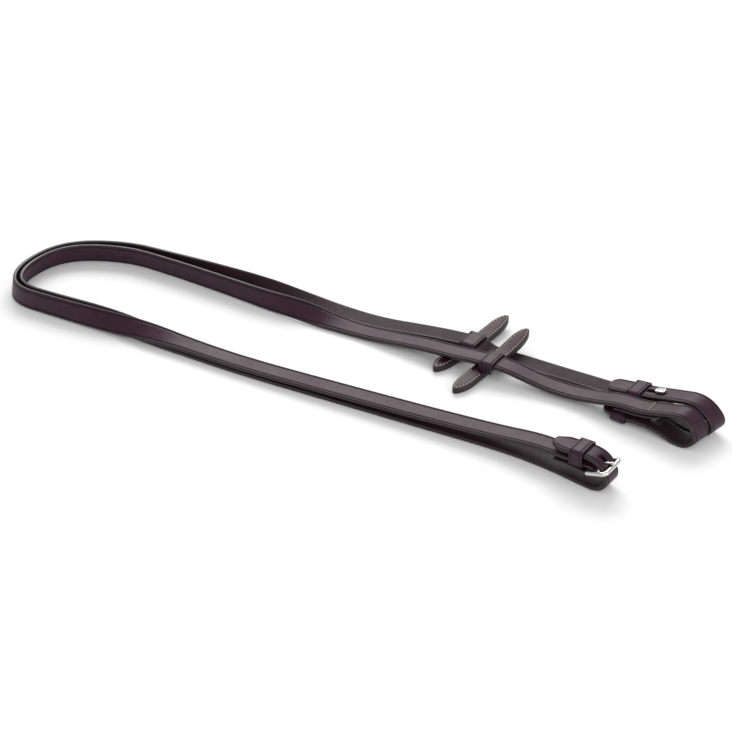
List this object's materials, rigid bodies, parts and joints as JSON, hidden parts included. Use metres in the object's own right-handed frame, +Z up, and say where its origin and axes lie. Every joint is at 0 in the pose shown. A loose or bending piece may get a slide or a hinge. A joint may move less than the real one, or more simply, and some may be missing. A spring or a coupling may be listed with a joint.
{
  "type": "leather reins",
  "caption": "Flat leather riding reins: two straps joined by a centre buckle, hook-stud billets folded into bit loops, and a stitched sliding stop on each strap.",
  "frame": {"origin": "on the floor, in the middle of the laid-out reins", "axes": "+X along the folded reins towards the bit ends, +Y from the centre buckle's run to the bit ends' run, +Z up"},
  "size_m": [0.6673, 0.1931, 0.0319],
  "materials": {
    "bridle_leather": "satin",
    "steel": "polished",
    "thread": "matt"
  },
  "bodies": {
    "reins": {"rein_strap_left": "bridle_leather", "rein_strap_right": "bridle_leather", "billet_lining_left": "bridle_leather", "billet_lining_right": "bridle_leather", "bit_keeper_left": "bridle_leather", "bit_keeper_right": "bridle_leather", "hook_stud_left": "steel", "hook_stud_right": "steel", "lining_stitching_left": "thread", "lining_stitching_right": "thread", "buckle_keeper": "bridle_leather", "chape_stitching": "thread"},
    "buckle_frame": {"buckle_frame": "steel"},
    "buckle_tongue": {"buckle_tongue": "steel"},
    "rein_stop_left": {"stop_bottom_layer_left": "bridle_leather", "stop_top_layer_left": "bridle_leather", "stop_band_left": "bridle_leather", "stop_stitching_left": "thread"},
    "rein_stop_right": {"stop_bottom_layer_right": "bridle_leather", "stop_top_layer_right": "bridle_leather", "stop_band_right": "bridle_leather", "stop_stitching_right": "thread"}
  },
  "joints": [
    {"name": "buckle_frame_hinge", "type": "hinge", "parent": "reins", "child": "buckle_frame", "pos_m": [0.2642, -0.081, 0.01675], "axis": [-0.1219, -0.9925, 0], "range_deg": [0, 8]},
    {"name": "buckle_tongue_hinge", "type": "hinge", "parent": "buckle_frame", "child": "buckle_tongue", "pos_m": [0.2642, -0.081, 0.01675], "axis": [-0.1219, -0.9925, 0], "range_deg": [0, 10]},
    {"name": "rein_stop_left_slide", "type": "slide", "parent": "reins", "child": "rein_stop_left", "axis": [0.9981, 0.0614, 0], "range_m": [-0.016, 0]},
    {"name": "rein_stop_right_slide", "type": "slide", "parent": "reins", "child": "rein_stop_right", "axis": [1, 0, 0], "range_m": [0, 0.01]}
  ]
}
